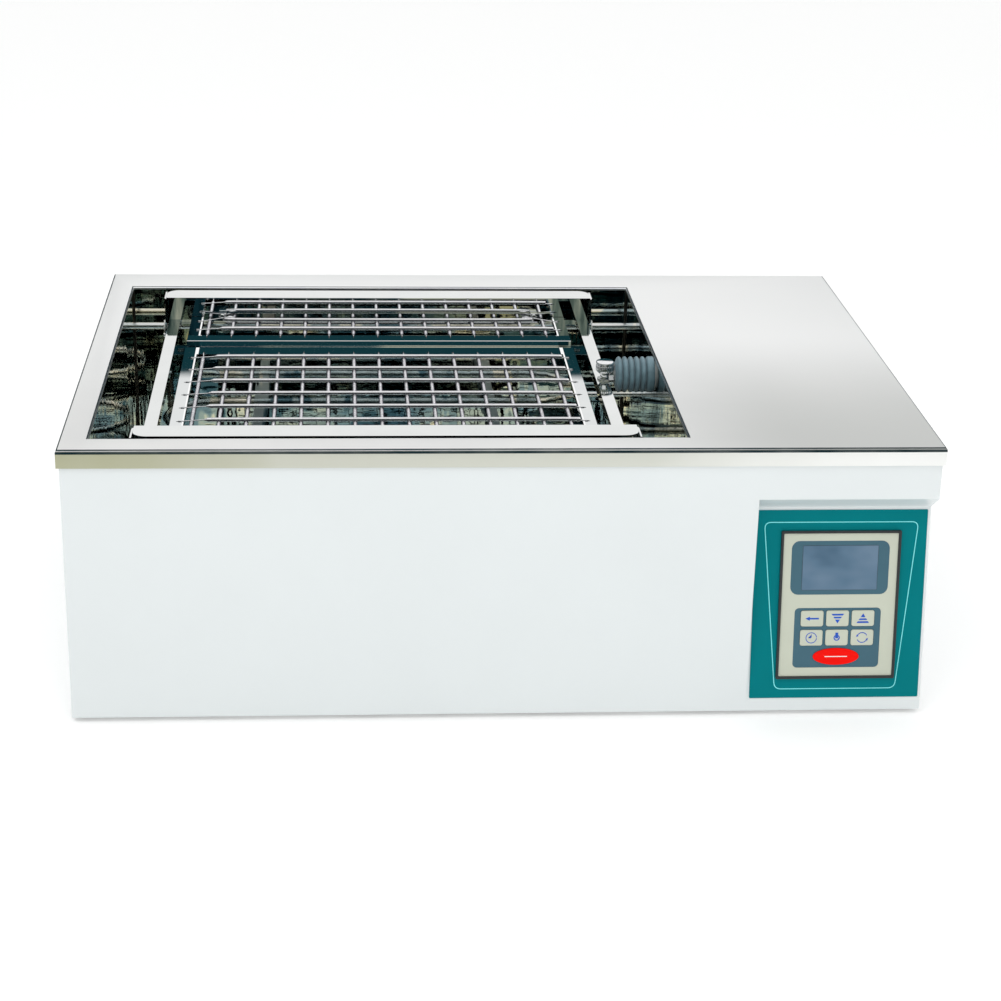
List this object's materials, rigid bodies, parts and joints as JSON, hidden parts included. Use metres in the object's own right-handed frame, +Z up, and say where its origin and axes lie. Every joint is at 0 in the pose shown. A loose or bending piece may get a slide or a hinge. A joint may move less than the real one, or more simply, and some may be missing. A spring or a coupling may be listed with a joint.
{
  "type": "shaking water bath",
  "caption": "Low white cabinet with a polished deck, a sunken water bath with spring racks on a sliding carriage, and a slanted control panel with display and keys at the right.",
  "frame": {"origin": "middle of the footprint on the bench, under the rubber feet", "axes": "+Z up, front towards -Y, +X to the right-hand side with the control panel"},
  "size_m": [0.75, 0.534, 0.252],
  "materials": {
    "white_case": "white powder coat",
    "polished_deck": "polished stainless sheet",
    "bath_steel": "bright stainless sheet",
    "carriage_steel": "polished stainless sheet",
    "rack_steel": "polished stainless sheet",
    "spring_steel": "bright spring wire",
    "rod_steel": "ground stainless bar",
    "chrome": "bright plated",
    "plain_sheet": "bare sheet",
    "insulation": "mineral wool",
    "white_polymer": "white polymer",
    "grey_rubber": "grey-green rubber",
    "black_rubber": "black rubber",
    "brass": "turned brass",
    "drain_steel": "stainless tube",
    "cast_grey": "grey paint",
    "teal_film": "teal printed film",
    "black_bezel": "black moulded",
    "beige_film": "beige film",
    "display": "grey-blue display",
    "slate_film": "slate film",
    "red_key": "red",
    "rocker_red": "dark red",
    "board_green": "circuit board",
    "heatsink": "extruded"
  },
  "bodies": {
    "case": {"case_shell": "white_case", "base_pan": "plain_sheet", "back_panel": "white_case", "feet": "black_rubber", "deck": "polished_deck", "tub": "bath_steel", "tub_insulation": "insulation", "bulkhead": "plain_sheet", "guide_rods": "rod_steel", "rod_cap_nuts": "chrome", "heater_legs": "rod_steel", "heater_bends": "rod_steel", "heater_rests": "plain_sheet", "tank_glands": "brass", "temp_probe": "rod_steel", "wall_bush": "white_polymer", "drive_plate": "plain_sheet", "gearbox": "cast_grey", "motor": "cast_grey", "shaft_bush": "brass", "control_overlay": "teal_film", "controller_frame": "black_bezel", "membrane_panel": "beige_film", "display_window": "display", "keypad_surround": "slate_film", "circuit_boards": "board_green", "heater_relay": "heatsink", "fan_frame": "black_bezel", "switch_housing": "black_bezel", "mains_inlet": "black_bezel", "drain_box": "black_bezel", "drain_pipe": "drain_steel", "drain_valve": "brass", "case_screws": "chrome", "bellows": "grey_rubber"},
    "carriage": {"carriage_frame": "carriage_steel", "rack_beam": "carriage_steel", "rod_bushes": "white_polymer", "carriage_nuts": "chrome", "push_rod": "rod_steel"},
    "thumb_screw": {"thumb_screw": "chrome"},
    "front_rack": {"front_rack_frame": "rack_steel", "front_rack_springs": "spring_steel", "front_rack_hooks": "spring_steel"},
    "back_rack": {"back_rack_frame": "rack_steel", "back_rack_springs": "spring_steel", "back_rack_hooks": "spring_steel", "rack_clamps": "chrome"},
    "crank": {"crank": "rod_steel"},
    "con_rod": {"con_rod": "rod_steel"},
    "fan_rotor": {"fan_rotor": "black_bezel"},
    "power_rocker": {"power_rocker": "rocker_red"},
    "drain_handle": {"drain_handle": "red_key"},
    "key_shift": {"key_shift": "beige_film"},
    "key_down": {"key_down": "beige_film"},
    "key_up": {"key_up": "beige_film"},
    "key_timer": {"key_timer": "beige_film"},
    "key_temperature": {"key_temperature": "beige_film"},
    "key_speed": {"key_speed": "beige_film"},
    "key_run": {"key_run": "red_key"}
  },
  "joints": [
    {"name": "carriage_slide", "type": "slide", "parent": "case", "child": "carriage", "axis": [1, 0, 0], "range_m": [-0.0125, 0.0125], "deforming": ["bellows"]},
    {"name": "crank_turn", "type": "hinge", "parent": "case", "child": "crank", "pos_m": [0.256, -0.0125, 0.21], "axis": [0, 0, 1], "range_deg": [-90, 90]},
    {"name": "con_rod_swing", "type": "hinge", "parent": "carriage", "child": "con_rod", "pos_m": [0.196, -0.0125, 0.228], "axis": [0, 0, 1], "range_deg": [-12, 0]},
    {"name": "thumb_screw_turn", "type": "hinge", "parent": "carriage", "child": "thumb_screw", "pos_m": [0.1105, -0.0125, 0.235], "axis": [0, 0, 1], "continuous": true},
    {"name": "front_rack_lift", "type": "slide", "parent": "carriage", "child": "front_rack", "axis": [0, 0, 1], "range_m": [0, 0.06]},
    {"name": "back_rack_lift", "type": "slide", "parent": "carriage", "child": "back_rack", "axis": [0, 0, 1], "range_m": [0, 0.06]},
    {"name": "fan_spin", "type": "hinge", "parent": "case", "child": "fan_rotor", "pos_m": [0.3, 0.2515, 0.17], "axis": [0, 1, 0], "continuous": true},
    {"name": "power_rocker_tilt", "type": "hinge", "parent": "case", "child": "power_rocker", "pos_m": [0.3, 0.2587, 0.05], "axis": [0, 0, 1], "range_deg": [-8, 8]},
    {"name": "drain_handle_turn", "type": "hinge", "parent": "case", "child": "drain_handle", "pos_m": [-0.295, 0.2387, 0.035], "axis": [0, 0, 1], "range_deg": [0, 90]},
    {"name": "key_shift_press", "type": "slide", "parent": "case", "child": "key_shift", "axis": [0, 0.9909, -0.1346], "range_m": [0, 0.0004], "stiffness_N_per_m": 800},
    {"name": "key_down_press", "type": "slide", "parent": "case", "child": "key_down", "axis": [0, 0.9909, -0.1346], "range_m": [0, 0.0004], "stiffness_N_per_m": 800},
    {"name": "key_up_press", "type": "slide", "parent": "case", "child": "key_up", "axis": [0, 0.9909, -0.1346], "range_m": [0, 0.0004], "stiffness_N_per_m": 800},
    {"name": "key_timer_press", "type": "slide", "parent": "case", "child": "key_timer", "axis": [0, 0.9909, -0.1346], "range_m": [0, 0.0004], "stiffness_N_per_m": 800},
    {"name": "key_temperature_press", "type": "slide", "parent": "case", "child": "key_temperature", "axis": [0, 0.9909, -0.1346], "range_m": [0, 0.0004], "stiffness_N_per_m": 800},
    {"name": "key_speed_press", "type": "slide", "parent": "case", "child": "key_speed", "axis": [0, 0.9909, -0.1346], "range_m": [0, 0.0004], "stiffness_N_per_m": 800},
    {"name": "key_run_press", "type": "slide", "parent": "case", "child": "key_run", "axis": [0, 0.9909, -0.1346], "range_m": [0, 0.0004], "stiffness_N_per_m": 800}
  ],
  "couplings": [
    {"joint": "crank_turn", "follows": "carriage_slide", "rad_per_m": -125.6}
  ]
}
